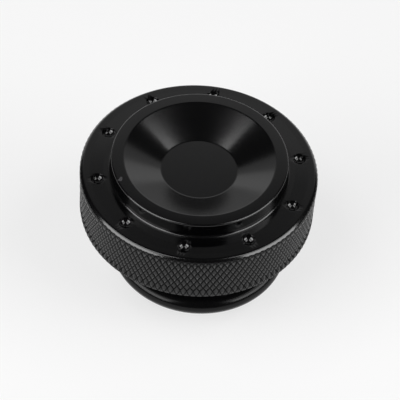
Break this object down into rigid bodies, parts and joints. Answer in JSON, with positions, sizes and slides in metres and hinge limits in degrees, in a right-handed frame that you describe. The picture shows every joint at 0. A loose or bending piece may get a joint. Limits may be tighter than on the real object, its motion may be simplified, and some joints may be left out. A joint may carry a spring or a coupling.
{
  "type": "oil filler cap",
  "caption": "Hand-turned oil filler cap: knurled black disc with a dished boss and a ring of dimples, on a neck with a seal ring and a short threaded spigot.",
  "frame": {"origin": "centre of the spigot's end face, on the axis of the cap", "axes": "+Z along the cap's axis, from the threaded spigot up to the dished boss"},
  "size_m": [0.051, 0.051, 0.036],
  "materials": {
    "black_anodised": "satin black anodised, fine turning marks",
    "seal_rubber": "moulded black nitrile rubber, slightly polished"
  },
  "bodies": {
    "root": {"cap_body": "black_anodised", "o_ring": "seal_rubber"}
  },
  "joints": []
}
